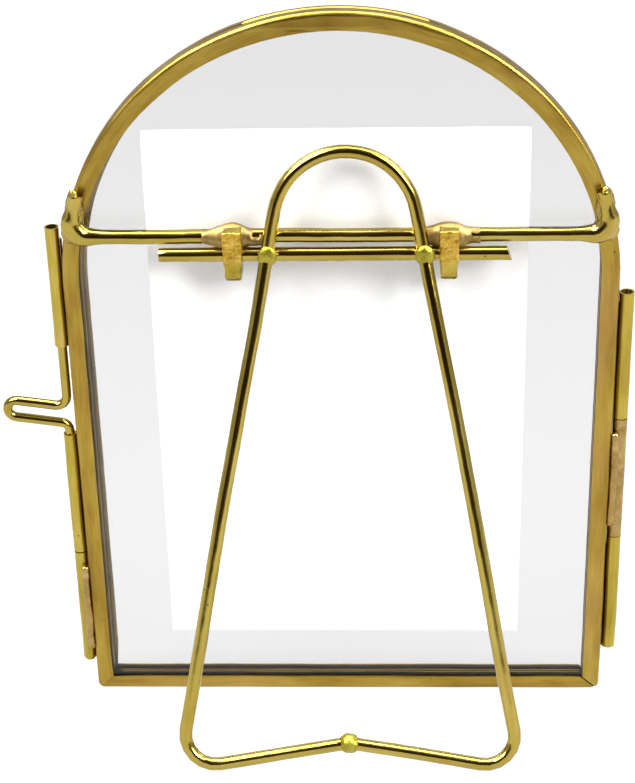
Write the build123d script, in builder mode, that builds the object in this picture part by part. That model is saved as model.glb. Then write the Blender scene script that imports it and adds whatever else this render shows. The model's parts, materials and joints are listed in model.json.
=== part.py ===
from build123d import *
import os
from math import cos, radians, sin, tan

os.makedirs("parts", exist_ok=True)

# An arched, double-glazed picture frame of folded brass strip. Its two halves open like a book on a
# tube hinge, a lift-out wire pin locks them, and a bent wire stand hinged on a crossbar props it up.
# Millimetres and degrees. +Z is up, +X is the latch side, +Y is the side of the stand.

# Frame
lean = 14.0  # backward lean of the standing frame
half_width = 75.0  # outer radius of the arch and half the width
side_height = 133.5  # straight sides, up to the spring of the arch
lip = 5.0  # width of the folded lips on the sides and the arch
sill_lip = 4.4  # width of the folded lips along the bottom
half_depth = 3.15  # depth of each half
halves_gap = 0.3  # gap between the closed halves
strip = 0.6  # thickness of the brass strip
fold_r = 1.2  # rounding of the outer fold
corner_r = 2.0  # rounded bottom corners
glass_play = 0.1  # room around each pane's edge
pane_play = 0.05  # room in front of and behind each pane

# Blank print between the panes
print_width = 102.0
print_at = -0.6
print_height = 157.0
print_low = 19.5
print_thickness = 0.3

# Crossbar, with both ends turned up along the arch
crossbar_r = 1.95
crossbar_height = 148.4
crossbar_reach = 72.0
crossbar_end_rise = 12.0
crossbar_end_shift = 3.0
crossbar_bend_r = 4.0
solder_film = 0.05  # solder under the bar, where it lies on the lip

# Lugs that carry the pivot rod
lug_width = 5.2
lug_left_at = -28.1
lug_right_at = 29.1
lug_top = 151.3
lug_bottom = 136.8
lug_front = 3.4
lug_rear = 10.2
lug_toe_r = 2.6
lug_edge_r = 0.5
lug_solder_reach = 7.5
lug_solder_r = 2.6

# Stand
wire_r = 1.8
pivot_r = 1.95
pivot_play = 0.06
pivot_drop = 4.8  # pivot rod below the crossbar
pivot_left = -47.8
pivot_right = 46.0
pivot_cut = 22.0  # slant of the rod's sawn end
open_angle = 21.1  # angle between the frame and the opened legs
loop_angle = 10.5  # angle between the frame and the loop, bent back at the pivot rod
stop_gap = 0.3  # gap between the stand's loop and the crossbar it leans on
stand_at = 2.0
loop_r = 18.8
loop_centre = 8.4
leg_splay = 10.5
foot_bend_r = 8.1
crossing_bend_r = 12.0
foot_slope = 0.163
foot_gap = 0.6
foot_solder_r = 2.5
foot_solder_reach = 2.2
crossing_solder_r = 2.5

# Hinge and latch tubes, beside the frame
tube_gap = 0.3
hinge_r = 2.05
hinge_bore_r = 1.55
hinge_pin_r = 1.48
hinge_low = 14.2
hinge_high = 129.1
knuckle_gap = 0.3
latch_r = 1.9
latch_bore_r = 1.48
latch_wire_r = 1.4
latch_top_span = (113.9, 149.2)
latch_middle_span = (47.35, 86.2)
latch_bottom_span = (8.5, 47.05)
latch_wire_top = 130.0
latch_wire_bottom = 37.5
handle_reach = 94.2
handle_high = 94.5
handle_low = 89.2
handle_slope = 0.144
handle_bend_r = 3.0
handle_end_r = 2.6
handle_lower_r = 2.4

# Sizes that follow
depth = 2 * half_depth + halves_gap
back_face = depth / 2
hinge_at = half_width + tube_gap + hinge_r
latch_at = -(half_width + tube_gap + latch_r)
crossbar_depth = back_face + crossbar_r
pivot_height = crossbar_height - pivot_drop
wire_offset = pivot_r + wire_r
loop_rise = pivot_drop - wire_offset * sin(radians(open_angle))
pivot_depth = (
    crossbar_depth
    + loop_rise * tan(radians(loop_angle))
    + (crossbar_r + wire_r + stop_gap) / cos(radians(loop_angle))
    - wire_offset * cos(radians(open_angle))
)

# Row frame: the origin is the bottom centre of everything the object takes up.
stand_tilt = open_angle - lean
seat_z = back_face * sin(radians(lean)) + fold_r * (1 - cos(radians(lean)) - sin(radians(lean)))
pivot_y = pivot_height * sin(radians(lean)) + pivot_depth * cos(radians(lean))
pivot_z = pivot_height * cos(radians(lean)) - pivot_depth * sin(radians(lean)) + seat_z
leg_drop = (pivot_z + wire_offset * sin(radians(stand_tilt)) - wire_r) / cos(radians(stand_tilt))
foot_y = pivot_y + wire_offset * cos(radians(stand_tilt)) + leg_drop * sin(radians(stand_tilt)) + wire_r
front_y = -back_face * cos(radians(lean)) + fold_r * (cos(radians(lean)) + sin(radians(lean)) - 1)
seat_x = -(handle_reach + latch_wire_r - hinge_at - hinge_r) / 2
seat_y = -(foot_y + front_y) / 2

# Seen from behind: x runs towards the hinge, y up the leaning frame, z out of the back.
frame = Plane(
    origin=(seat_x, seat_y, seat_z),
    x_dir=(-1, 0, 0),
    z_dir=(0, cos(radians(lean)), -sin(radians(lean))),
)
along = Vector(-1, 0, 0)
upward = Vector(0, sin(radians(lean)), cos(radians(lean)))

# The legs' own plane, through the middle of the wire: x as above, y up the legs. The loop's plane
# meets it in the line where the wire crosses the pivot rod.
loop_tilt = loop_angle - lean
legs = Plane(
    origin=(seat_x, seat_y + pivot_y, pivot_z),
    x_dir=(-1, 0, 0),
    z_dir=(0, cos(radians(stand_tilt)), sin(radians(stand_tilt))),
).offset(wire_offset)
loop = Plane(
    origin=legs.origin,
    x_dir=(-1, 0, 0),
    z_dir=(0, cos(radians(loop_tilt)), sin(radians(loop_tilt))),
)


def level(height):
    """Plane across the frame at a height up it: x towards the hinge, y towards the front."""
    return Plane(origin=frame.from_local_coords((0, height, 0)), x_dir=along, z_dir=upward)


def profile(across):
    """Plane seen from the side: x up the frame, y towards the back."""
    return Plane(origin=frame.from_local_coords((across, 0, 0)), x_dir=upward, z_dir=along)


def arch(side_inset, bottom_inset, corner):
    """Arched outline, inset from the frame's outer edge."""
    r = half_width - side_inset
    with BuildSketch() as outline:
        with BuildLine():
            Polyline((-r, side_height), (-r, bottom_inset), (r, bottom_inset), (r, side_height))
            ThreePointArc((r, side_height), (0, side_height + r), (-r, side_height))
        make_face()
        if corner:
            fillet(outline.vertices().group_by(Axis.Y)[0], corner)
    return outline.sketch


def channel(facing):
    """One half's folded channel, rim and sill together. facing is 1 for the back, -1 for the front."""
    inner_face = facing * halves_gap / 2
    with BuildPart() as folded:
        with BuildSketch(frame.offset(inner_face)):
            add(arch(0, 0, corner_r))
            add(arch(lip, sill_lip, 0), mode=Mode.SUBTRACT)
        extrude(amount=facing * half_depth)
        outer_face = folded.faces().sort_by(Axis(frame.origin, frame.z_dir * facing))[-1]
        fillet(outer_face.outer_wire().edges(), fold_r)
        with BuildSketch(frame.offset(inner_face + facing * strip)):
            add(arch(strip, strip, corner_r - strip))
        extrude(amount=facing * (half_depth - 2 * strip), mode=Mode.SUBTRACT)
    return folded.part


def mitre_block():
    """Everything below the mitres of the two bottom corners."""
    top = half_width - lip
    low = half_width + lip
    with BuildPart() as block:
        with BuildSketch(frame.offset(-depth)):
            Polygon((-top, sill_lip), (-low, -sill_lip), (low, -sill_lip), (top, sill_lip), align=None)
        extrude(amount=2 * depth)
    return block.part


def pane(facing):
    """Arched pane of glass inside a channel."""
    start = facing * (halves_gap / 2 + strip + pane_play)
    edge = strip + glass_play
    with BuildPart() as glass:
        with BuildSketch(frame.offset(start)):
            add(arch(edge, edge, corner_r - strip))
        extrude(amount=facing * (half_depth - 2 * strip - 2 * pane_play))
    return glass.part


def tube(across, span, outer_r, bore_r):
    """Tube standing beside the frame."""
    low, high = span
    with BuildPart() as pipe:
        with BuildSketch(level(low)):
            with Locations((across, 0)):
                Circle(outer_r)
                Circle(bore_r, mode=Mode.SUBTRACT)
        extrude(amount=high - low)
    return pipe.part


def tube_solder(across, span, outer_r, facing):
    """Run of solder that fills the gap between a tube and the channel's outer wall."""
    low, high = span
    side = 1 if across > 0 else -1
    inset = 2.0
    near = halves_gap
    far = half_depth - 0.8
    with BuildPart() as bead:
        with BuildSketch(frame.offset(facing * near)):
            with Locations((side * (half_width + outer_r / 2), (low + high) / 2)):
                Rectangle(outer_r, high - low - 2 * inset)
        extrude(amount=facing * (far - near))
        with BuildSketch(level(low - 1)):
            with Locations((across, 0)):
                Circle(outer_r)
        extrude(amount=high - low + 2, mode=Mode.SUBTRACT)
    return bead.part


def lug(across):
    """Hanging lug, notched over the crossbar and bored for the pivot rod."""
    with BuildPart() as block:
        with BuildSketch(profile(across - lug_width / 2)) as side:
            with BuildLine():
                Polyline(
                    (lug_bottom, lug_front),
                    (lug_top, lug_front),
                    (lug_top, lug_rear),
                    (lug_bottom, lug_rear),
                    close=True,
                )
            make_face()
            fillet(side.vertices().group_by(Axis.X)[0], lug_toe_r)
            fillet(side.vertices().group_by(Axis.X)[-1], lug_edge_r)
        extrude(amount=lug_width)
        cheeks = block.faces().filter_by(Axis.X)
        fillet(cheeks.edges(), lug_edge_r)
        with BuildSketch(profile(across - lug_width)):
            with Locations((crossbar_height, crossbar_depth)):
                Circle(crossbar_r)
            with Locations((pivot_height, pivot_depth)):
                Circle(pivot_r + pivot_play)
        extrude(amount=2 * lug_width, mode=Mode.SUBTRACT)
    return block.part


def lug_solder(across, lug_part):
    """Swollen solder round the crossbar on both sides of a lug, clear of the glass."""
    axis = Axis(frame.from_local_coords((0, crossbar_height, crossbar_depth)), along)
    with BuildPart() as swell:
        with BuildSketch(frame.offset(crossbar_depth)):
            with BuildLine():
                foot_left = (across - lug_solder_reach, crossbar_height + crossbar_r)
                foot_right = (across + lug_solder_reach, crossbar_height + crossbar_r)
                ThreePointArc(foot_left, (across, crossbar_height + lug_solder_r), foot_right)
                Line(foot_right, foot_left)
            make_face()
        revolve(axis=axis)
        split(bisect_by=frame.offset(back_face - 0.1), keep=Keep.TOP)
        add(lug_part, mode=Mode.SUBTRACT)
        with BuildSketch(profile(across - lug_width / 2)):
            with Locations((crossbar_height, crossbar_depth)):
                Circle(lug_solder_r + 1)
        extrude(amount=lug_width, mode=Mode.SUBTRACT)
    return swell.part


# Back half
bottom_block = mitre_block()
back_channel = channel(1)

with BuildPart() as back_rim:
    add(back_channel)
    add(bottom_block, mode=Mode.SUBTRACT)

with BuildPart() as back_sill:
    add(back_channel)
    add(bottom_block, mode=Mode.INTERSECT)

with BuildPart() as back_glass:
    add(pane(1))

print_back = halves_gap / 2 + strip
with BuildPart() as blank_print:
    with BuildSketch(frame.offset(print_back - print_thickness)):
        with Locations((print_at, print_low + print_height / 2)):
            Rectangle(print_width, print_height)
    extrude(amount=print_thickness)

# Crossbar and its soldered ends
with BuildPart() as crossbar:
    with BuildLine(frame.offset(crossbar_depth)) as bar_line:
        FilletPolyline(
            (-crossbar_reach + crossbar_end_shift, crossbar_height + crossbar_end_rise),
            (-crossbar_reach, crossbar_height),
            (crossbar_reach, crossbar_height),
            (crossbar_reach - crossbar_end_shift, crossbar_height + crossbar_end_rise),
            radius=crossbar_bend_r,
        )
    with BuildSketch(Plane(origin=bar_line.wire() @ 0, z_dir=bar_line.wire() % 0)):
        Circle(crossbar_r)
    sweep()


def end_solder(side):
    """Pad of solder under a turned-up end of the crossbar."""
    middle = (side * (crossbar_reach - 1.6), crossbar_height + crossbar_end_rise / 2 - 1, 0)
    with BuildPart() as pad:
        with BuildSketch(frame.offset(back_face + solder_film)):
            with Locations(Location(middle, (0, 0, side * 14))):
                Ellipse(2.7, 7.0)
        extrude(amount=1.3)
        add(crossbar.part, mode=Mode.SUBTRACT)
    return pad.part


with BuildPart() as crossbar_solder_left:
    add(end_solder(-1))

with BuildPart() as crossbar_solder_right:
    add(end_solder(1))

# Lugs
with BuildPart() as lug_left:
    add(lug(lug_left_at))

with BuildPart() as lug_right:
    add(lug(lug_right_at))

with BuildPart() as lug_solder_left:
    add(lug_solder(lug_left_at, lug_left.part))

with BuildPart() as lug_solder_right:
    add(lug_solder(lug_right_at, lug_right.part))

# Front half, the door
front_channel = channel(-1)

with BuildPart() as front_rim:
    add(front_channel)
    add(bottom_block, mode=Mode.SUBTRACT)

with BuildPart() as front_sill:
    add(front_channel)
    add(bottom_block, mode=Mode.INTERSECT)

with BuildPart() as front_glass:
    add(pane(-1))

# Hinge: three knuckles on one pin
knuckle = (hinge_high - hinge_low) / 3
bottom_span = (hinge_low, hinge_low + knuckle - knuckle_gap / 2)
middle_span = (hinge_low + knuckle + knuckle_gap / 2, hinge_low + 2 * knuckle - knuckle_gap / 2)
top_span = (hinge_low + 2 * knuckle + knuckle_gap / 2, hinge_high)

with BuildPart() as hinge_knuckle_top:
    add(tube(hinge_at, top_span, hinge_r, hinge_bore_r))

with BuildPart() as hinge_knuckle_middle:
    add(tube(hinge_at, middle_span, hinge_r, hinge_bore_r))

with BuildPart() as hinge_knuckle_bottom:
    add(tube(hinge_at, bottom_span, hinge_r, hinge_bore_r))

with BuildPart() as hinge_pin:
    with BuildSketch(level(hinge_low + 1)):
        with Locations((hinge_at, 0)):
            Circle(hinge_pin_r)
    extrude(amount=hinge_high - hinge_low - 3)

with BuildPart() as hinge_solder_top:
    add(tube_solder(hinge_at, top_span, hinge_r, -1))

with BuildPart() as hinge_solder_middle:
    add(tube_solder(hinge_at, middle_span, hinge_r, 1))

with BuildPart() as hinge_solder_bottom:
    add(tube_solder(hinge_at, bottom_span, hinge_r, -1))

# Latch: two guide tubes on the door, one keeper tube on the back half
with BuildPart() as latch_tube_top:
    add(tube(latch_at, latch_top_span, latch_r, latch_bore_r))

with BuildPart() as latch_tube_middle:
    add(tube(latch_at, latch_middle_span, latch_r, latch_bore_r))

with BuildPart() as latch_tube_bottom:
    closed_low, open_high = latch_bottom_span
    with BuildSketch(level(closed_low + latch_r)):
        with Locations((latch_at, 0)):
            Circle(latch_r)
    extrude(amount=open_high - closed_low - latch_r)
    with Locations(Location(level(closed_low + latch_r).from_local_coords((latch_at, 0, 0)))):
        Sphere(latch_r)
    with BuildSketch(level(closed_low + latch_r)):
        with Locations((latch_at, 0)):
            Circle(latch_bore_r)
    extrude(amount=open_high - closed_low, mode=Mode.SUBTRACT)

with BuildPart() as latch_solder_top:
    add(tube_solder(latch_at, latch_top_span, latch_r, -1))

with BuildPart() as latch_solder_middle:
    add(tube_solder(latch_at, latch_middle_span, latch_r, -1))

with BuildPart() as latch_solder_bottom:
    add(tube_solder(latch_at, (latch_bottom_span[0] + latch_r, latch_bottom_span[1]), latch_r, 1))

# Latch pin: a wire with its middle bent out into a flat handle
handle_out = handle_slope * (handle_reach + latch_at)
with BuildPart() as latch_pin:
    with BuildLine(frame) as pin_line:
        FilletPolyline(
            (latch_at, latch_wire_top),
            (latch_at, handle_high),
            (-handle_reach, handle_high + handle_out),
            (-handle_reach, handle_low + handle_out),
            (latch_at, handle_low),
            (latch_at, latch_wire_bottom),
            radius=(handle_bend_r, handle_end_r, handle_end_r, handle_lower_r),
        )
    with BuildSketch(Plane(origin=pin_line.wire() @ 0, z_dir=pin_line.wire() % 0)):
        Circle(latch_wire_r)
    sweep()

# Stand: pivot rod and one bent wire, soldered where they cross
with BuildPart() as pivot_rod:
    with BuildSketch(profile(pivot_left)):
        with Locations((pivot_height, pivot_depth)):
            Circle(pivot_r)
    extrude(amount=pivot_right - pivot_left)
    saw_plane = Plane(
        origin=frame.from_local_coords((pivot_right - 1, pivot_height, pivot_depth)),
        z_dir=along + upward * tan(radians(pivot_cut)),
    )
    split(bisect_by=saw_plane, keep=Keep.BOTTOM)

splay = radians(leg_splay)
loop_side = loop_r * cos(splay)
loop_join = loop_centre + loop_r * sin(splay)
corner_drop = leg_drop + 0.22 * foot_bend_r
corner_side = loop_r / cos(splay) + (loop_centre + corner_drop) * tan(splay)
foot_join = -corner_drop + foot_slope * corner_side
crossing_side = loop_r / cos(splay) + loop_centre * tan(splay)


def leg_points(side):
    """One leg: from the middle of the foot out to its corner, up to the pivot rod and to the loop."""
    return [
        legs.from_local_coords((stand_at + side * foot_gap, foot_join)),
        legs.from_local_coords((stand_at + side * corner_side, -corner_drop)),
        legs.from_local_coords((stand_at + side * crossing_side, 0)),
        loop.from_local_coords((stand_at + side * loop_side, loop_join)),
    ]


with BuildPart() as stand_wire:
    with BuildLine() as stand_line:
        left_leg = FilletPolyline(*leg_points(-1), radius=(foot_bend_r, crossing_bend_r))
        right_leg = FilletPolyline(*leg_points(1), radius=(foot_bend_r, crossing_bend_r))
        loop_top = loop.from_local_coords((stand_at, loop_centre + loop_r))
        ThreePointArc(left_leg @ 1, loop_top, right_leg @ 1)
    with BuildSketch(Plane(origin=stand_line.wire() @ 0, z_dir=stand_line.wire() % 0)):
        Circle(wire_r)
    sweep()


def crossing_solder(side):
    """Flat blob of solder where a leg crosses the pivot rod."""
    at = stand_at + side * crossing_side
    with BuildPart() as blob:
        with BuildSketch(legs.offset(-wire_offset)):
            with Locations((at, 0)):
                Circle(crossing_solder_r)
        extrude(amount=wire_offset + wire_r * 0.8, taper=3)
        add(pivot_rod.part, mode=Mode.SUBTRACT)
        add(stand_wire.part, mode=Mode.SUBTRACT)
    return blob.part


with BuildPart() as stand_solder_left:
    add(crossing_solder(-1))

with BuildPart() as stand_solder_right:
    add(crossing_solder(1))

foot_plane = Plane(origin=legs.from_local_coords((stand_at, foot_join, 0)), x_dir=upward, z_dir=along)
with BuildPart() as foot_solder:
    with BuildSketch(foot_plane.offset(-foot_solder_reach)):
        Circle(foot_solder_r)
    extrude(amount=2 * foot_solder_reach)
    add(stand_wire.part, mode=Mode.SUBTRACT)

pieces = {
    "back_rim": back_rim,
    "back_sill": back_sill,
    "back_glass": back_glass,
    "blank_print": blank_print,
    "crossbar": crossbar,
    "crossbar_solder_left": crossbar_solder_left,
    "crossbar_solder_right": crossbar_solder_right,
    "lug_left": lug_left,
    "lug_right": lug_right,
    "lug_solder_left": lug_solder_left,
    "lug_solder_right": lug_solder_right,
    "front_rim": front_rim,
    "front_sill": front_sill,
    "front_glass": front_glass,
    "hinge_knuckle_top": hinge_knuckle_top,
    "hinge_knuckle_middle": hinge_knuckle_middle,
    "hinge_knuckle_bottom": hinge_knuckle_bottom,
    "hinge_pin": hinge_pin,
    "hinge_solder_top": hinge_solder_top,
    "hinge_solder_middle": hinge_solder_middle,
    "hinge_solder_bottom": hinge_solder_bottom,
    "latch_tube_top": latch_tube_top,
    "latch_tube_middle": latch_tube_middle,
    "latch_tube_bottom": latch_tube_bottom,
    "latch_solder_top": latch_solder_top,
    "latch_solder_middle": latch_solder_middle,
    "latch_solder_bottom": latch_solder_bottom,
    "latch_pin": latch_pin,
    "pivot_rod": pivot_rod,
    "stand_wire": stand_wire,
    "stand_solder_left": stand_solder_left,
    "stand_solder_right": stand_solder_right,
    "foot_solder": foot_solder,
}

for name, piece in pieces.items():
    piece.part.label = name
    export_step(piece.part, f"parts/{name}.step")

hinge_point = frame.from_local_coords((hinge_at, 0, 0))
pivot_point = frame.from_local_coords((0, pivot_height, pivot_depth))
print("hinge axis through", hinge_point, "along", upward)
print("pivot axis through", pivot_point)
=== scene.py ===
import json
import math
import bmesh
import bpy
from mathutils import Matrix, Vector, noise

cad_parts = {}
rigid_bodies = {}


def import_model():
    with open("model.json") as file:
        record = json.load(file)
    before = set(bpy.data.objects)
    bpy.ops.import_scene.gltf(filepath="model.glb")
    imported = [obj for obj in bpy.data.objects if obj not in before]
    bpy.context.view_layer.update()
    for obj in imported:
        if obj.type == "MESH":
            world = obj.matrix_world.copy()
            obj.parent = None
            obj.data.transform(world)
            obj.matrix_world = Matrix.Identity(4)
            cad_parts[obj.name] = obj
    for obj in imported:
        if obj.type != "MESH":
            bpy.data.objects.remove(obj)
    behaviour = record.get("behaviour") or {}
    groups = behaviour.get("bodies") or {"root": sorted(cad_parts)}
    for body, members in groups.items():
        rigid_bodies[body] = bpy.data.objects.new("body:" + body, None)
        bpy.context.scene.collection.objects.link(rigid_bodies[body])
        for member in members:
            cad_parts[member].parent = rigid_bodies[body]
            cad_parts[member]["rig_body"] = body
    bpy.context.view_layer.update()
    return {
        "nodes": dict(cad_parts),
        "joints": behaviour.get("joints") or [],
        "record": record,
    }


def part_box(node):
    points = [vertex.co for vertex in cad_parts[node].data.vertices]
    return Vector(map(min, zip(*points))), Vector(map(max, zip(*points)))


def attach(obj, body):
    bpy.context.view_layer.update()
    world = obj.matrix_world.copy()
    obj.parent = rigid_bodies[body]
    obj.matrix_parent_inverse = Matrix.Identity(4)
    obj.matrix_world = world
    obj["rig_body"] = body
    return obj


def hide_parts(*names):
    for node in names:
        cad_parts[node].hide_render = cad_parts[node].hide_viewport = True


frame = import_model()

noise.seed_set(3)  # unseeded, noise vectors start from the clock
mm = 0.001
scene = bpy.context.scene
joints = {joint["name"]: joint for joint in frame["joints"]}

# the leaning frame's own axes: across runs to the hinge, upward up the frame, outward out of its back
across = Vector((-1, 0, 0))
upward = -Vector(joints["door_hinge"]["axis"])
outward = across.cross(upward)
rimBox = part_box("back_rim")
seat = Vector(joints["door_hinge"]["pos_m"])
seat.x = (rimBox[0].x + rimBox[1].x) / 2


def spot(u, v, w):  # a point from millimetres across, up and out of the frame
    return seat + (across * u + upward * v + outward * w) * mm


# colours and nodes
def linear(hexColour):
    parts = [int(hexColour[i:i + 2], 16) / 255 for i in (1, 3, 5)]
    return [c / 12.92 if c <= 0.04045 else ((c + 0.055) / 1.055) ** 2.4 for c in parts] + [1]


def perMm(size):  # pattern scale for a feature of that many millimetres
    return 1 / (size * mm)


def addNode(tree, kind, inputs=None, **settings):
    node = tree.nodes.new(kind)
    for key, value in settings.items():
        setattr(node, key, value)
    for key, value in (inputs or {}).items():
        if isinstance(value, bpy.types.NodeSocket):
            tree.links.new(value, node.inputs[key])
        else:
            node.inputs[key].default_value = value
    return node


def newMaterial(name):
    material = bpy.data.materials.new(name)
    material.use_nodes = True
    material.node_tree.nodes.clear()
    return material, material.node_tree


def colourSteps(tree, fac, stops):
    ramp = addNode(tree, "ShaderNodeValToRGB", {"Fac": fac})
    points = ramp.color_ramp.elements
    while len(points) < len(stops):
        points.new(0.5)
    for point, (at, colour) in zip(points, stops):
        point.position = at
        point.color = linear(colour)
    return ramp.outputs["Color"]


# brass of every kind here: a yellow metal, browner where it has tarnished in patches, with the lines that
# drawing, rolling or filing leave along it, a few dark pits, and the low swells of hand work
# every brass piece carries an attribute, section: two places across it and its length so far, in metres
def agedBrass(name, look):
    material, tree = newMaterial(name)
    place = addNode(tree, "ShaderNodeAttribute", attribute_name="section").outputs["Vector"]
    smeared = addNode(tree, "ShaderNodeMapping", {"Vector": place, "Scale": look["patchStretch"]})
    patches = addNode(tree, "ShaderNodeTexNoise", {"Vector": smeared.outputs["Vector"], "Detail": 4.0,
                                                   "Scale": perMm(look["patch"]), "Roughness": 0.55})
    blush = addNode(tree, "ShaderNodeTexNoise", {"Vector": smeared.outputs["Vector"], "Detail": 2.0,
                                                 "Scale": perMm(look["blush"])})
    stretched = addNode(tree, "ShaderNodeMapping", {"Vector": place, "Scale": look["lineStretch"]})
    lines = addNode(tree, "ShaderNodeTexNoise", {"Vector": stretched.outputs["Vector"], "Detail": 3.0,
                                                 "Scale": perMm(look["line"]), "Roughness": 0.6})
    tone = addNode(tree, "ShaderNodeMix", {"Factor": look["lineShare"], 2: patches.outputs["Fac"],
                                           3: lines.outputs["Fac"]})
    colour = colourSteps(tree, tone.outputs[0], look["tones"])
    pink = addNode(tree, "ShaderNodeMapRange", {"Value": blush.outputs["Fac"], "From Min": 0.52,
                                                "From Max": 0.68, "To Max": look["blushShare"]})
    warmed = addNode(tree, "ShaderNodeMix", {"Factor": pink.outputs[0], 6: colour,
                                             7: linear(look["blushColour"])}, data_type="RGBA")
    pits = addNode(tree, "ShaderNodeTexVoronoi", {"Vector": place, "Scale": perMm(look["pitSpacing"]),
                                                  "Randomness": 1.0})
    isPit = addNode(tree, "ShaderNodeMapRange", {"Value": pits.outputs["Distance"],
                                                 "From Min": look["pitSize"],
                                                 "From Max": look["pitSize"] * 0.4})
    dirty = addNode(tree, "ShaderNodeMix", {"Factor": isPit.outputs[0], 6: warmed.outputs[2],
                                            7: linear(look["pitColour"])}, data_type="RGBA")
    smooth, dull = look["roughness"]
    polish = addNode(tree, "ShaderNodeMapRange", {"Value": patches.outputs["Fac"], "From Min": 0.3,
                                                  "From Max": 0.7, "To Min": smooth, "To Max": dull})
    swells = addNode(tree, "ShaderNodeTexNoise", {"Vector": place, "Scale": perMm(look["swell"]),
                                                  "Detail": 1.5})
    relief = addNode(tree, "ShaderNodeBump", {"Height": swells.outputs["Fac"], "Strength": 1.0,
                                              "Distance": look["swellDepth"] * mm})
    scratch = addNode(tree, "ShaderNodeBump", {"Height": lines.outputs["Fac"], "Strength": 1.0,
                                               "Distance": look["lineDepth"] * mm,
                                               "Normal": relief.outputs[0]})
    hollow = addNode(tree, "ShaderNodeBump", {"Height": isPit.outputs[0], "Strength": 1.0,
                                              "Distance": look["pitDepth"] * mm,
                                              "Normal": scratch.outputs[0]}, invert=True)
    metal = addNode(tree, "ShaderNodeBsdfPrincipled", {"Base Color": dirty.outputs[2], "Metallic": 1.0,
                                                       "Roughness": polish.outputs[0],
                                                       "Normal": hollow.outputs[0]})
    addNode(tree, "ShaderNodeOutputMaterial", {"Surface": metal.outputs[0]})
    return material


stripLook = {  # cold-rolled strip, folded by hand and wiped clean
    "patch": 6, "patchStretch": (1, 1, 0.25), "blush": 11, "blushShare": 0.5, "blushColour": "#A5824A",
    "line": 0.4, "lineStretch": (1, 1, 0.04), "lineShare": 0.3,
    "tones": [(0.30, "#7A5F22"), (0.45, "#937730"), (0.56, "#A28839"), (0.72, "#B59C52")],
    "pitSpacing": 7, "pitSize": 0.045, "pitDepth": 0.05, "pitColour": "#3A2608", "roughness": (0.26, 0.36),
    "swell": 6, "swellDepth": 0.15, "lineDepth": 0.012,
}
# drawn through a die: the brightest, with fine lines along it
wireLook = dict(stripLook, patch=9, blushShare=0.2, line=0.3, lineStretch=(1, 1, 0.02), swell=4,
                swellDepth=0.04,
                tones=[(0.30, "#8C7830"), (0.45, "#A08C3E"), (0.56, "#AB984A"), (0.72, "#BFB06C")],
                roughness=(0.12, 0.18))
# drawn tube: as the wire but less bright, and greener
tubeLook = dict(stripLook, blushShare=0.25, roughness=(0.22, 0.34), swell=4, swellDepth=0.06,
                tones=[(0.30, "#887628"), (0.45, "#A28E34"), (0.56, "#AF9B42"), (0.72, "#C2B064")])
# sawn and left rough: small bright grains with no direction
lugLook = dict(stripLook, patchStretch=(1, 1, 1), patch=2.2, blushShare=0.2, line=0.5, lineStretch=(1, 1, 1),
               lineShare=0.5, roughness=(0.3, 0.42), swell=1.4, swellDepth=0.12, lineDepth=0.1,
               tones=[(0.30, "#86661E"), (0.45, "#B28E34"), (0.56, "#C6A346"), (0.72, "#E6CE80")])
# solder set from a run: soft swells, a little pinker than the brass beside it
solderLook = dict(stripLook, patchStretch=(1, 1, 1), patch=3, blush=5, blushShare=0.4, blushColour="#A4855A",
                  line=0.9, lineStretch=(1, 1, 1), roughness=(0.22, 0.34), swell=2, swellDepth=0.1,
                  lineDepth=0.03,
                  tones=[(0.30, "#80682C"), (0.45, "#9A823C"), (0.56, "#A99148"), (0.72, "#C2AC66")])
# the same overheated and left dull, then where copper has come up in it, then grainy and greener
burntLook = dict(solderLook, roughness=(0.38, 0.5),
                 tones=[(0.30, "#6E5A34"), (0.45, "#8A7444"), (0.56, "#98824E"), (0.72, "#AE9A68")])
copperLook = dict(solderLook, blushShare=0.7, blushColour="#A88462",
                  tones=[(0.30, "#7E6636"), (0.45, "#977C46"), (0.56, "#A48A54"), (0.72, "#BCA26E")])
discLook = dict(solderLook, blushShare=0.0, line=0.5, lineDepth=0.12, roughness=(0.3, 0.42),
                tones=[(0.30, "#7A6C20"), (0.45, "#92862C"), (0.56, "#A09438"), (0.72, "#BCB05A")])

rolledBrass = agedBrass("rolledBrassStrip", stripLook)
drawnBrass = agedBrass("drawnBrassWire", wireLook)
tubeBrass = agedBrass("drawnBrassTube", tubeLook)
sawnBrass = agedBrass("sawnBrassBlock", lugLook)
brazing = agedBrass("brassSolder", solderLook)
burntBrazing = agedBrass("dullBrassSolder", burntLook)
copperBrazing = agedBrass("copperySolder", copperLook)
discBrazing = agedBrass("grainyBrassSolder", discLook)


# float glass, thin and flat: light goes straight through, both faces mirror a little, and the cut edge is
# green
glass = {"index": 1.38, "edge": "#1E2818", "face": "#F6F6F6", "roughness": 0.02}


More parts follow.
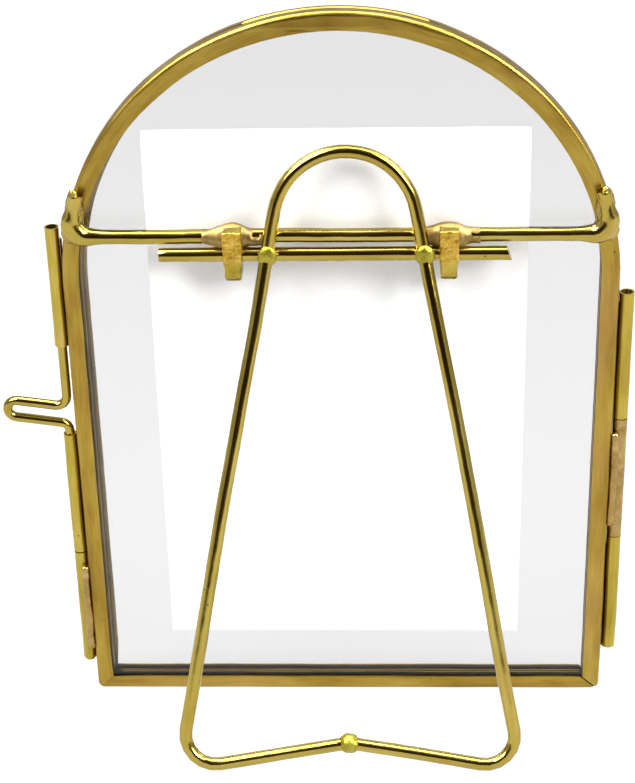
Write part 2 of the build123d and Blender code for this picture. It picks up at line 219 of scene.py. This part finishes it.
def floatGlass():
    material, tree = newMaterial("clearFloatGlass")
    normal = addNode(tree, "ShaderNodeTexCoord").outputs["Normal"]
    facing = addNode(tree, "ShaderNodeVectorMath", {0: normal, 1: outward}, operation="DOT_PRODUCT")
    facing = addNode(tree, "ShaderNodeMath", {0: facing.outputs["Value"]}, operation="ABSOLUTE")
    tint = colourSteps(tree, facing.outputs[0], [(0.3, glass["edge"]), (0.6, glass["face"])])
    through = addNode(tree, "ShaderNodeBsdfTransparent", {"Color": tint})
    mirror = addNode(tree, "ShaderNodeBsdfGlossy", {"Color": (1, 1, 1, 1), "Roughness": glass["roughness"]})
    behind = addNode(tree, "ShaderNodeNewGeometry").outputs["Backfacing"]
    # a ray leaving the glass meets the same mirror as one going in
    index = addNode(tree, "ShaderNodeMapRange", {"Value": behind, "To Min": glass["index"],
                                                 "To Max": 1 / glass["index"]})
    share = addNode(tree, "ShaderNodeFresnel", {"IOR": index.outputs[0]})
    pane = addNode(tree, "ShaderNodeMixShader", {0: share.outputs[0], 1: through.outputs[0],
                                                 2: mirror.outputs[0]})
    addNode(tree, "ShaderNodeOutputMaterial", {"Surface": pane.outputs[0]})
    return material


# photo paper, blank: matt white with a faint fibre
def blankPaper():
    material, tree = newMaterial("blankPhotoPaper")
    place = addNode(tree, "ShaderNodeTexCoord").outputs["Object"]
    fibre = addNode(tree, "ShaderNodeTexNoise", {"Vector": place, "Scale": perMm(0.6), "Detail": 4.0})
    colour = colourSteps(tree, fibre.outputs["Fac"], [(0.3, "#F8F8F7"), (0.7, "#FEFEFD")])
    tooth = addNode(tree, "ShaderNodeBump", {"Height": fibre.outputs["Fac"], "Distance": 0.02 * mm})
    sheet = addNode(tree, "ShaderNodeBsdfPrincipled", {"Base Color": colour, "Roughness": 0.7,
                                                       "Normal": tooth.outputs[0]})
    addNode(tree, "ShaderNodeOutputMaterial", {"Surface": sheet.outputs[0]})
    return material


for node, material in (("back_glass", floatGlass()), ("front_glass", None), ("blank_print", blankPaper())):
    held = frame["nodes"][node].data.materials
    held.clear()
    held.append(material or bpy.data.materials["clearFloatGlass"])
print("materials made")


# shaping tools
def local(point):  # a point's millimetres across, up and out of the frame
    away = (point - seat) / mm
    return away.dot(across), away.dot(upward), away.dot(outward)


def frameSpace(place):  # the move that puts place at zero and the frame's axes on x, y and z
    return Matrix((across, upward, outward)).to_4x4() @ Matrix.Translation(-place)


def handWork(bm, size, depth, seed):  # low swells all over, size and depth in millimetres
    for v in bm.verts:
        v.co += noise.noise_vector(v.co / (size * mm) + Vector((seed, 0, 0))) * depth * mm


def addPiece(name, bm, nodes, material, crease=35):
    bmesh.ops.recalc_face_normals(bm, faces=bm.faces)
    for face in bm.faces:
        face.smooth = True
    mesh = bpy.data.meshes.new(name)
    bm.to_mesh(mesh)
    bm.free()
    mesh.set_sharp_from_angle(angle=math.radians(crease))
    mesh.materials.append(material)
    piece = bpy.data.objects.new(name, mesh)
    scene.collection.objects.link(piece)
    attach(piece, frame["nodes"][nodes[0]]["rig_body"])
    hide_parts(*nodes)
    return piece


slotOf = {part["node"]: part["material_slot"] for part in frame["record"]["subparts"]}


def growRing(bm, ring, move):  # extrudes a ring of edges and carries the new ring by a move
    made = bmesh.ops.extrude_edge_only(bm, edges=ring)["geom"]
    verts = [item for item in made if isinstance(item, bmesh.types.BMVert)]
    bmesh.ops.transform(bm, matrix=move, verts=verts)
    kept = set(verts)
    return [item for item in made if isinstance(item, bmesh.types.BMEdge) and set(item.verts) <= kept], verts


# a wire as a bender makes it: from its start it runs straight or bends about an axis, in turn, and may swell
# on the way, where girth gives how much wider it is across the frame, up it and out of it at a length
def bendWire(plan):
    bm = bmesh.new()
    section = bm.verts.layers.float_vector.new("section")
    place, heading, radius = plan["start"].copy(), plan["heading"].normalized(), plan["radius"]
    facing = Vector((0, 0, 1)).rotation_difference(heading).to_matrix().to_4x4()
    made = bmesh.ops.create_circle(bm, segments=plan["sides"], radius=radius * mm,
                                   matrix=Matrix.Translation(place) @ facing)
    for i, v in enumerate(made["verts"]):
        turn = 2 * math.pi * i / plan["sides"]
        v[section] = (radius * mm * math.cos(turn), radius * mm * math.sin(turn), 0)
    ring = bm.edges[:]
    first, gone, wide = ring, 0, (1, 1, 1)
    girth = plan.get("girth", lambda length: (1, 1, 1))
    for move in plan["moves"]:
        if move[0] == "run":
            steps = max(1, round(move[1] / plan["step"]))
            length = move[1] / steps
            shift = Matrix.Translation(heading * length * mm)
        else:
            bendRadius, degrees, axis = move[1:]
            steps = max(4, round(math.radians(degrees) * bendRadius / plan["step"]))
            length = math.radians(degrees) * bendRadius / steps
            centre = place + axis.cross(heading) * bendRadius * mm
            turn = Matrix.Rotation(math.radians(degrees) / steps, 4, axis)
            shift = Matrix.Translation(centre) @ turn @ Matrix.Translation(-centre)
        for _ in range(steps):
            ring, verts = growRing(bm, ring, shift)
            place = shift @ place
            heading = (shift.to_3x3() @ heading).normalized()
            gone += length
            now = girth(gone)
            change = [new / old for new, old in zip(now, wide)]
            bmesh.ops.scale(bm, vec=change, space=frameSpace(place), verts=verts)
            wide = now
            for v in verts:
                v[section].z = gone * mm
    for end in (first, ring):
        bmesh.ops.edgeloop_fill(bm, edges=end)
    bmesh.ops.bevel(bm, geom=first + ring, offset=plan["endRound"] * mm, offset_type="OFFSET", segments=2,
                    profile=0.5, affect="EDGES", material=-1, clamp_overlap=True)
    for size, depth, seed in plan["handWork"]:
        handWork(bm, size, depth, seed)
    return bm


def throughCorners(points, bends):  # the runs and bends of a wire whose straight lines meet at these points
    lines = [b - a for a, b in zip(points, points[1:])]
    turns = [line.angle(after) for line, after in zip(lines, lines[1:])]
    lost = [0] + [bend * math.tan(turn / 2) for bend, turn in zip(bends, turns)] + [0]
    moves = []
    for i, line in enumerate(lines):
        moves.append(("run", line.length / mm - lost[i] - lost[i + 1]))
        if i < len(bends):
            moves.append(("bend", bends[i], math.degrees(turns[i]), line.cross(lines[i + 1]).normalized()))
    return moves


# a worn copy of a CAD node: its mesh merged, cut across every few millimetres, and swelled a little
def wornCopy(node, look):
    bm = bmesh.new()
    bm.from_mesh(frame["nodes"][node].data)
    bmesh.ops.remove_doubles(bm, verts=bm.verts, dist=0.003 * mm)
    bmesh.ops.dissolve_limit(bm, angle_limit=math.radians(0.5), verts=bm.verts, edges=bm.edges)
    for direction, spacing in look["cuts"]:
        places = [v.co.dot(direction) / mm for v in bm.verts]
        at = min(places) + spacing
        while at < max(places) - spacing / 2:
            bmesh.ops.bisect_plane(bm, geom=bm.verts[:] + bm.edges[:] + bm.faces[:], dist=0.001 * mm,
                                   plane_co=direction * at * mm, plane_no=direction)
            at += spacing
    section = bm.verts.layers.float_vector.new("section")
    for v in bm.verts:
        v[section] = [value * mm for value in look["section"](*local(v.co))]
    for size, depth, seed in look["handWork"]:
        handWork(bm, size, depth, seed)
    if "shape" in look:
        look["shape"](bm)
    return bm


# a lump of set solder: centre, its three half sizes across, up and out of the frame, and how uneven it is
def solderLump(bm, centre, sizes, unevenness, seed):
    section = bm.verts.layers.float_vector.get("section") or bm.verts.layers.float_vector.new("section")
    made = bmesh.ops.create_icosphere(bm, subdivisions=4, radius=1)["verts"]
    bmesh.ops.scale(bm, vec=[size * mm for size in sizes], verts=made)
    turn = Matrix((across, upward, outward)).transposed().to_4x4()
    bmesh.ops.transform(bm, matrix=Matrix.Translation(centre) @ turn, verts=made)
    for v in made:
        push = noise.noise(v.co / (1.6 * mm) + Vector((seed, 0, 0))) * unevenness * mm
        v.co += (v.co - centre).normalized() * push
        v[section] = v.co


# the two folded halves
rim = {"halfWidth": 75, "spring": 133.5, "cut": 4, "swell": (14, 0.1), "dimple": (4, 0.05), "lip": 4.5,
       "lipFrom": 2.4, "narrowed": 0.45, "widened": 1.05, "fade": 90, "foot": 12, "mitreGap": 0.6,
       "mitreFrom": 11, "mitreEase": 4}


def alongRim(u, v, w):  # how far in from the edge, how far out, and the length up, over and down the strip
    if v < rim["spring"]:
        over = rim["spring"] * 2 + math.pi * rim["halfWidth"]
        return rim["halfWidth"] - abs(u), w, v if u < 0 else over - v
    turned = math.atan2(v - rim["spring"], -u)
    return rim["halfWidth"] - math.hypot(u, v - rim["spring"]), w, rim["spring"] + rim["halfWidth"] * turned


def alongSill(u, v, w):
    return v, w, u


def openMitre(bm):  # the sill falls a little short of the hinge side, so that mitre shows as a dark groove
    for v in bm.verts:
        u = local(v.co)[0]
        share = min(1, max(0, (u - rim["halfWidth"] + rim["mitreFrom"]) / rim["mitreEase"]))
        v.co -= across * rim["mitreGap"] * share * mm


def bell(x, reach):  # 1 at nought, easing to nought at reach
    return 0.5 + 0.5 * math.cos(math.pi * min(1, abs(x) / reach))


def unevenLip(side):  # down the latch side the back lip is folded narrow and the front one wide
    facing, shift = (1, -rim["narrowed"]) if side == "back" else (-1, rim["widened"])

    def shape(bm):
        for v in bm.verts:
            u, up, out = local(v.co)
            inward, _, length = alongRim(u, up, out)
            if u < 0 and inward > rim["lip"] and out * facing > rim["lipFrom"]:
                middle = spot(0, min(up, rim["spring"]), out)
                share = bell(length - rim["spring"], rim["fade"]) if length > rim["spring"] else 1
                share *= min(1, length / rim["foot"])
                v.co += (middle - v.co).normalized() * shift * share * mm
    return shape


def foldHalves():
    for i, side in enumerate(("back", "front")):
        waves = [(rim["swell"][0], rim["swell"][1], 3 + i), (rim["dimple"][0], rim["dimple"][1], 11 + i)]
        strip = wornCopy(side + "_rim", {"cuts": [(upward, rim["cut"])], "section": alongRim,
                                         "handWork": waves, "shape": unevenLip(side)})
        addPiece(side + "Rim", strip, [side + "_rim"], rolledBrass, 30)
        strip = wornCopy(side + "_sill", {"cuts": [(across, rim["cut"])], "section": alongSill,
                                          "handWork": waves, "shape": openMitre})
        addPiece(side + "Sill", strip, [side + "_sill"], rolledBrass, 30)


foldHalves()
print("halves folded")

# crossbar, its soldered ends, and the lugs
bar = {"radius": 1.95, "height": 148.4, "reach": 72.0, "endRise": 12.0, "endShift": 3.0, "bend": 4.0,
       "depth": 5.25, "elbow": 1.6, "elbowDepth": 1.4, "elbowLength": 8}
# the three lumps of each end's solder: place across, up and out, half sizes, unevenness and seed
endLumps = [((70.0, 154.6, 3.9), (2.5, 6.6, 1.5), 0.35, 31),
            ((69.8, 150.4, 4.3), (2.8, 2.4, 1.6), 0.2, 35),
            ((71.0, 149.0, 4.2), (2.9, 3.0, 2.2), 0.3, 39)]
lug = {"at": (-28.1, 29.1), "notch": 142.4, "bottom": 136.8, "rear": 10.2, "waist": 0.88, "toeRound": 1.2,
       "neck": 1.2, "graze": 0.8, "groove": 0.45, "grooveReach": 0.8, "skin": 1.6, "grain": 0.25,
       "grainSize": 0.7, "grainAbove": 0.4, "grainSkin": 0.6,
       "swell": (2.0, 1.3), "swellLength": 8.0, "swellBase": 1.03, "swellPower": 1.4}
pinhole = {"along": 6.2, "above": 0.4, "out": 2, "radius": 0.75, "depth": 1.3}


def punch(bm, centre, radius, depth):  # a round dent out of the back, such as a pinhole left by gas in solder
    for v in bm.verts:
        v.co -= outward * depth * mm * bell((v.co - centre).length / mm, radius * 1.5)


def layCrossbar():
    corners = [spot(side * (bar["reach"] - shift), bar["height"] + rise, bar["depth"])
               for side, shift, rise in ((-1, bar["endShift"], bar["endRise"]), (-1, 0, 0), (1, 0, 0),
                                         (1, bar["endShift"], bar["endRise"]))]
    moves = throughCorners(corners, [bar["bend"]] * 2)
    lengths = [move[1] if move[0] == "run" else math.radians(move[2]) * move[1] for move in moves]
    elbows = (lengths[0] + lengths[1] / 2, sum(lengths[:3]) + lengths[3] / 2)

    def girth(length):
        fat = max(bell(length - at, bar["elbowLength"]) for at in elbows)
        wide = 1 + (bar["elbow"] - 1) * fat
        return wide, wide, 1 + (bar["elbowDepth"] - 1) * fat

    plan = {"start": corners[0], "heading": corners[1] - corners[0], "radius": bar["radius"], "sides": 28,
            "step": 1.0, "endRound": 0.25, "handWork": [(30, 0.25, 21), (5, 0.08, 22)], "girth": girth,
            "moves": moves}
    addPiece("crossbar", bendWire(plan), ["crossbar"], drawnBrass)


def solderEnds():
    for side, word in ((-1, "left"), (1, "right")):
        bm = bmesh.new()
        for (u, v, w), sizes, unevenness, seed in endLumps:
            solderLump(bm, spot(side * u, v, w), sizes, unevenness, seed + side)
        addPiece("crossbarSolder" + word.title(), bm, ["crossbar_solder_" + word], brazing, 60)


def shapeLug(at):
    def shape(bm):
        for v in bm.verts:
            u, up, out = local(v.co)
            below = min(1, max(0, (lug["notch"] - up) / lug["neck"]))
            groove = bell(up - lug["notch"], lug["grooveReach"]) * lug["groove"]
            toe = min(1, max(0, 1 - (up - lug["bottom"]) / lug["toeRound"]))
            waist = lug["waist"] * (1 - 0.75 * toe ** 2) ** 0.25  # the toe rounds off
            squeeze = (at - u) * (1 - waist) * below * mm
            backOff = -(lug["graze"] * below + groove) * mm if out > lug["rear"] - lug["skin"] else 0
            v.co += across * squeeze + outward * backOff
            if up > lug["notch"] + lug["grainAbove"] and out > lug["rear"] - lug["grainSkin"]:
                v.co += outward * noise.noise(v.co / (lug["grainSize"] * mm)) * lug["grain"] * mm
    return shape


def hangLugs():
    for at, word, seed in zip(lug["at"], ("left", "right"), (41, 47)):
        cuts = [(upward, 0.35), (across, 0.35), (outward, 0.8)]
        block = wornCopy("lug_" + word, {"cuts": cuts, "section": lambda u, v, w: (u, v, w),
                                         "handWork": [(4, 0.22, seed), (1.3, 0.06, seed)],
                                         "shape": shapeLug(at)})
        piece = addPiece("lug" + word.title(), block, ["lug_" + word], sawnBrass, 50)
        piece.data.materials.append(tubeBrass)  # filed smooth but for the rough back of its upper part
        for face in piece.data.polygons:
            rough = local(face.center)[1] > lug["notch"] and face.normal.dot(outward) > 0.3
            face.material_index = 0 if rough else 1
        reach = lug["swellLength"]

        def girth(length, reach=reach):
            fat = bell(length - reach, reach) ** lug["swellPower"]
            high, deep = [lug["swellBase"] + (most - 1) * fat for most in lug["swell"]]
            return 1, high, deep

        plan = {"start": spot(at - reach, bar["height"] - 0.2, bar["depth"] + 0.25), "heading": across,
                "radius": bar["radius"], "sides": 28, "step": 0.7, "endRound": 0.05, "girth": girth,
                "handWork": [(4, 0.5, seed + 2), (1.5, 0.1, seed + 3)], "moves": [("run", 2 * reach)]}
        swelling = bendWire(plan)
        if word == "left":
            hole = spot(at + pinhole["along"], bar["height"] + pinhole["above"],
                        bar["depth"] + pinhole["out"])
            punch(swelling, hole, pinhole["radius"], pinhole["depth"])
        addPiece("lugSolder" + word.title(), swelling, ["lug_solder_" + word], burntBrazing, 60)


layCrossbar()
solderEnds()
hangLugs()
print("crossbar and lugs soldered on")

# hinge and latch tubes, with the solder that holds them
hinge = {"at": 77.35, "low": 14.2, "high": 129.1, "pinRadius": 1.48, "pinFrom": 1, "pinShort": 3}
dent = {"height": 116, "length": 3.5, "at": 78.3, "width": 0.9, "depth": 0.5}
latch = {"at": -77.2, "radius": 1.36, "top": 130.0, "bottom": 37.5, "reach": 94.2, "high": 94.5, "low": 89.2,
         "slope": 0.144, "bends": (3.0, 2.6, 2.6, 2.4)}
# a thin seam of solder on the front half's tubes and a fat one on the back half's, in that order
bead = {"radius": (0.9, 1.15), "inset": (0.85, 1.0), "out": (2.0, 2.35), "waves": (0.25, 0.12),
        "shortOf": 2.5}


def dentKnuckle(bm):  # a long shallow dent where a punch slipped
    for v in bm.verts:
        u, up, out = local(v.co)
        share = bell(up - dent["height"], dent["length"]) * bell(u - dent["at"], dent["width"])
        if out > 0:
            v.co -= outward * dent["depth"] * share * mm


def standTubes():
    tubes = [("hinge_knuckle_top", 1.2, dentKnuckle), ("hinge_knuckle_middle", 3, None),
             ("hinge_knuckle_bottom", 3, None), ("latch_tube_top", 3, None), ("latch_tube_middle", 3, None),
             ("latch_tube_bottom", 3, None)]
    for i, (node, cut, shape) in enumerate(tubes):
        words = node.split("_")
        look = {"cuts": [(upward, cut)], "section": lambda u, v, w: (u, w, v),
                "handWork": [(9, 0.1, 51 + i), (2.5, 0.04, 61 + i)]}
        if shape:
            look["shape"] = shape
        name = words[0] + words[1].title() + words[2].title()
        smeared = node == "hinge_knuckle_middle"  # its solder ran all over it
        addPiece(name, wornCopy(node, look), [node], copperBrazing if smeared else tubeBrass, 40)


def runBeads():
    for node in [name for name in slotOf if name.startswith(("hinge_solder", "latch_solder"))]:
        low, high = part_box(node)
        side = 1 if node.startswith("hinge") else -1
        facing = 1 if node in ("hinge_solder_middle", "latch_solder_bottom") else -1  # which half holds it
        bottom, top = (local(corner)[1] for corner in (low, high))
        heights = (bottom + bead["shortOf"], top - bead["shortOf"])
        kind = 1 if facing == 1 else 0
        away = rim["halfWidth"] + bead["inset"][kind]
        place = spot(side * away, heights[0], facing * bead["out"][kind])
        waves = [(7, bead["waves"][0], 71), (2.2, bead["waves"][1], 72)]
        plan = {"start": place, "heading": upward, "radius": bead["radius"][kind], "sides": 20, "step": 1,
                "endRound": 0.6, "handWork": waves, "moves": [("run", heights[1] - heights[0])]}
        words = node.split("_")
        filler = copperBrazing if facing == 1 else brazing
        addPiece(words[0] + "Solder" + words[2].title(), bendWire(plan), [node], filler, 60)


def fitPins():
    plan = {"start": spot(hinge["at"], hinge["low"] + hinge["pinFrom"], 0), "heading": upward,
            "radius": hinge["pinRadius"], "sides": 24, "step": 4, "endRound": 0.3, "handWork": [],
            "moves": [("run", hinge["high"] - hinge["low"] - hinge["pinShort"])]}
    addPiece("hingePin", bendWire(plan), ["hinge_pin"], drawnBrass)
    rise = (latch["reach"] + latch["at"]) * latch["slope"]
    corners = [spot(u, v, 0) for u, v in ((latch["at"], latch["top"]), (latch["at"], latch["high"]),
                                          (-latch["reach"], latch["high"] + rise),
                                          (-latch["reach"], latch["low"] + rise), (latch["at"], latch["low"]),
                                          (latch["at"], latch["bottom"]))]
    plan = {"start": corners[0], "heading": -upward, "radius": latch["radius"], "sides": 24, "step": 1.5,
            "endRound": 0.3, "handWork": [(4, 0.03, 81)], "moves": throughCorners(corners, latch["bends"])}
    addPiece("latchPin", bendWire(plan), ["latch_pin"], drawnBrass)


standTubes()
runBeads()
fitPins()
print("tubes and pins fitted")

# stand
stand = {"radius": 1.8, "at": 2.0, "openAngle": 21.1, "loopAngle": 10.5, "loopRadius": 18.8,
         "loopCentre": 8.4, "splay": 10.5, "footBend": 8.1, "crossingBend": 12.0, "footSlope": 0.163,
         "footGap": 0.6, "footLift": 0.22, "offset": 3.75}
# solder on the stand: distance out of the legs, drop below the rod, half sizes, unevenness and seed
crossingLumps = [(1.0, 0.4, (2.6, 2.9, 1.4), 0.2, 101), (-1.9, 0, (2.3, 2.1, 1.7), 0.3, 105)]
footLump = ((2.9, 2.7, 2.6), 0.35, 111)
rod = {"radius": 1.95, "left": -47.8, "right": 46.0, "sawCut": 22.0, "spare": 1}
pivot = Vector(joints["stand_fold"]["pos_m"])
lean = math.atan2(upward.y, upward.z)


def tilted(angle):  # up and out of a plane at that angle to the frame, about the pivot rod
    tilt = math.radians(angle) - lean
    return Vector((0, -math.sin(tilt), math.cos(tilt))), Vector((0, math.cos(tilt), math.sin(tilt)))


legUp, legOut = tilted(stand["openAngle"])
loopUp, loopOut = tilted(stand["loopAngle"])
crossing = pivot + legOut * stand["offset"] * mm


def onLegs(u, v):
    return crossing + (across * u + legUp * v) * mm


def onLoop(u, v):
    return crossing + (across * u + loopUp * v) * mm


splay = math.radians(stand["splay"])
tilt = math.asin(-legUp.y)
legDrop = (pivot.z / mm + stand["offset"] * math.sin(tilt) - stand["radius"]) / math.cos(tilt)
cornerDrop = legDrop + stand["footLift"] * stand["footBend"]  # the bend cuts its corner by that much
crossingSide = stand["loopRadius"] / math.cos(splay) + stand["loopCentre"] * math.tan(splay)
cornerSide = crossingSide + cornerDrop * math.tan(splay)
footJoin = -cornerDrop + stand["footSlope"] * cornerSide


def legCorners(side):
    join = stand["loopCentre"] + stand["loopRadius"] * math.sin(splay)
    return [onLegs(stand["at"] + side * stand["footGap"], footJoin),
            onLegs(stand["at"] + side * cornerSide, -cornerDrop),
            onLegs(stand["at"] + side * crossingSide, 0),
            onLoop(stand["at"] + side * stand["loopRadius"] * math.cos(splay), join)]


def bendStand():
    left, right = legCorners(-1), legCorners(1)[::-1]
    moves = throughCorners(left, (stand["footBend"], stand["crossingBend"]))
    moves.append(("bend", stand["loopRadius"], 180 - 2 * stand["splay"], -loopOut))
    moves += throughCorners(right, (stand["crossingBend"], stand["footBend"]))
    waves = [(70, 0.7, 91), (26, 0.25, 92), (5, 0.06, 93)]
    plan = {"start": left[0], "heading": left[1] - left[0], "radius": stand["radius"], "sides": 28,
            "step": 2.5, "endRound": 0.3, "handWork": waves, "moves": moves}
    addPiece("standWire", bendWire(plan), ["stand_wire"], drawnBrass)


def sawRod():
    middle = local(pivot)
    plan = {"start": spot(rod["left"], middle[1], middle[2]), "heading": across, "radius": rod["radius"],
            "sides": 28, "step": 2.5, "endRound": 0.2, "handWork": [(30, 0.15, 95), (5, 0.05, 96)],
            "moves": [("run", rod["right"] + rod["spare"] - rod["left"])]}
    bm = bendWire(plan)
    slant = across + upward * math.tan(math.radians(rod["sawCut"]))
    sawn = spot(rod["right"] - rod["spare"], middle[1], middle[2])
    cut = bmesh.ops.bisect_plane(bm, geom=bm.verts[:] + bm.edges[:] + bm.faces[:], dist=0.001 * mm,
                                 plane_co=sawn, plane_no=slant, clear_outer=True)["geom_cut"]
    bmesh.ops.edgeloop_fill(bm, edges=[item for item in cut if isinstance(item, bmesh.types.BMEdge)])
    addPiece("pivotRod", bm, ["pivot_rod"], drawnBrass)


def solderStand():
    for side, word in ((-1, "left"), (1, "right")):
        bm = bmesh.new()
        at = onLegs(stand["at"] + side * crossingSide, 0)
        for out, drop, sizes, unevenness, seed in crossingLumps:
            solderLump(bm, at + (legOut * out - legUp * drop) * mm, sizes, unevenness, seed + side)
        addPiece("standSolder" + word.title(), bm, ["stand_solder_" + word], discBrazing, 60)
    bm = bmesh.new()
    solderLump(bm, onLegs(stand["at"], footJoin), *footLump)
    addPiece("footSolder", bm, ["foot_solder"], discBrazing, 60)


bendStand()
sawRod()
solderStand()
print("stand bent and soldered")

# stage, light and camera
studio = {"floorSize": 12, "floorGlow": 0.95, "floorTone": "#404040", "side": 0.55, "above": 0.7,
          "curtainAt": 1.25, "curtainWidth": 2.3, "curtainHeight": 1.5, "clothFrom": 0.42,
          "clothTone": "#20140A"}
softboxes = {"keySoftbox": {"place": (0.9, 0.9, 1.2), "size": (0.9, 0.9), "power": 60},
             "fillSoftbox": {"place": (-1.0, 0.8, 0.9), "size": (0.8, 1.0), "power": 50},
             "topSoftbox": {"place": (0, 0.12, 1.3), "size": (1.2, 0.6), "power": 30}}


def layFloor():
    bm = bmesh.new()
    bmesh.ops.create_grid(bm, x_segments=1, y_segments=1, size=studio["floorSize"] / 2)
    mesh = bpy.data.meshes.new("floor")
    bm.to_mesh(mesh)
    bm.free()
    floor = bpy.data.objects.new("floor", mesh)
    scene.collection.objects.link(floor)
    material, tree = newMaterial("paleFloor")
    pale = addNode(tree, "ShaderNodeBsdfPrincipled", {"Base Color": linear(studio["floorTone"]),
                                                      "Roughness": 0.8, "Emission Color": (1, 1, 1, 1),
                                                      "Emission Strength": studio["floorGlow"]})
    addNode(tree, "ShaderNodeOutputMaterial", {"Surface": pale.outputs[0]})
    mesh.materials.append(material)


def hangCloth(name, move, onlyMirrored):  # a metre of dark cloth out of sight, for the wires to mirror
    bm = bmesh.new()
    bmesh.ops.create_grid(bm, x_segments=1, y_segments=1, size=0.5)
    bmesh.ops.transform(bm, matrix=move, verts=bm.verts)
    mesh = bpy.data.meshes.new(name)
    bm.to_mesh(mesh)
    bm.free()
    cloth = bpy.data.objects.new(name, mesh)
    scene.collection.objects.link(cloth)
    material, tree = newMaterial(name + "Cotton")
    cotton = addNode(tree, "ShaderNodeBsdfDiffuse", {"Color": linear(studio["clothTone"])})
    addNode(tree, "ShaderNodeOutputMaterial", {"Surface": cotton.outputs[0]})
    mesh.materials.append(material)
    cloth.visible_camera = False
    if onlyMirrored:
        cloth.visible_diffuse = cloth.visible_shadow = False


def darkenRoom():  # one cloth hangs behind the camera, the other lies from it towards the frame
    width, height, back = studio["curtainWidth"], studio["curtainHeight"], studio["curtainAt"]
    hung = Matrix.Translation((0, back, height / 2)) @ Matrix.Rotation(math.pi / 2, 4, "X")
    hangCloth("curtain", hung @ Matrix.Diagonal((width, height, 1, 1)), False)
    depth = back - studio["clothFrom"]
    laid = Matrix.Translation((0, back - depth / 2, 0.002)) @ Matrix.Diagonal((width, depth, 1, 1))
    hangCloth("groundCloth", laid, True)


def hangSoftbox(name, box, aim):
    light = bpy.data.lights.new(name, "AREA")
    light.shape = "RECTANGLE"
    light.size, light.size_y = box["size"]
    light.energy = box["power"]
    lamp = bpy.data.objects.new(name, light)
    scene.collection.objects.link(lamp)
    place = Vector(box["place"])
    lamp.matrix_world = Matrix.Translation(place) @ (place - aim).to_track_quat("Z", "Y").to_matrix().to_4x4()


def lightRoom():
    world = bpy.data.worlds.new("studio")
    scene.world = world
    world.use_nodes = True
    tree = world.node_tree
    tree.nodes.clear()
    way = addNode(tree, "ShaderNodeTexCoord").outputs["Generated"]
    height = addNode(tree, "ShaderNodeSeparateXYZ", {"Vector": way}).outputs["Z"]
    pale = addNode(tree, "ShaderNodeMapRange", {"Value": height, "From Min": 0.25, "From Max": 0.8,
                                                "To Min": studio["side"], "To Max": studio["above"]})
    seen = addNode(tree, "ShaderNodeLightPath").outputs["Is Camera Ray"]
    level = addNode(tree, "ShaderNodeMix", {0: seen, 2: pale.outputs[0], 3: 1.0})
    sky = addNode(tree, "ShaderNodeBackground", {"Color": (1, 1, 1, 1), "Strength": level.outputs[0]})
    addNode(tree, "ShaderNodeOutputWorld", {"Surface": sky.outputs[0]})
    middle = Vector((0, 0, 0.1))
    for name, box in softboxes.items():
        hangSoftbox(name, box, middle)


camera = {"place": (-0.0238, 0.5347, 0.2285), "yaw": 2.36, "pitch": 14.04, "roll": 0.778, "lens": 92.05,
          "shift": (-0.0016, 0.0157)}


def setCamera():
    data = bpy.data.cameras.new("camera")
    data.lens = camera["lens"]
    data.sensor_width = 36
    data.sensor_fit = "AUTO"
    data.shift_x, data.shift_y = camera["shift"]
    body = bpy.data.objects.new("camera", data)
    scene.collection.objects.link(body)
    level = Matrix.Rotation(math.pi, 4, "Z") @ Matrix.Rotation(math.pi / 2, 4, "X")  # level, looking along -Y
    turn = Matrix.Rotation(math.radians(camera["yaw"]), 4, "Z")
    tilt = Matrix.Rotation(-math.radians(camera["pitch"]), 4, "X")
    roll = Matrix.Rotation(-math.radians(camera["roll"]), 4, "Z")
    body.matrix_world = Matrix.Translation(camera["place"]) @ turn @ level @ tilt @ roll
    scene.camera = body


layFloor()
darkenRoom()
lightRoom()
setCamera()
scene.view_settings.view_transform = "Standard"
print("studio set")
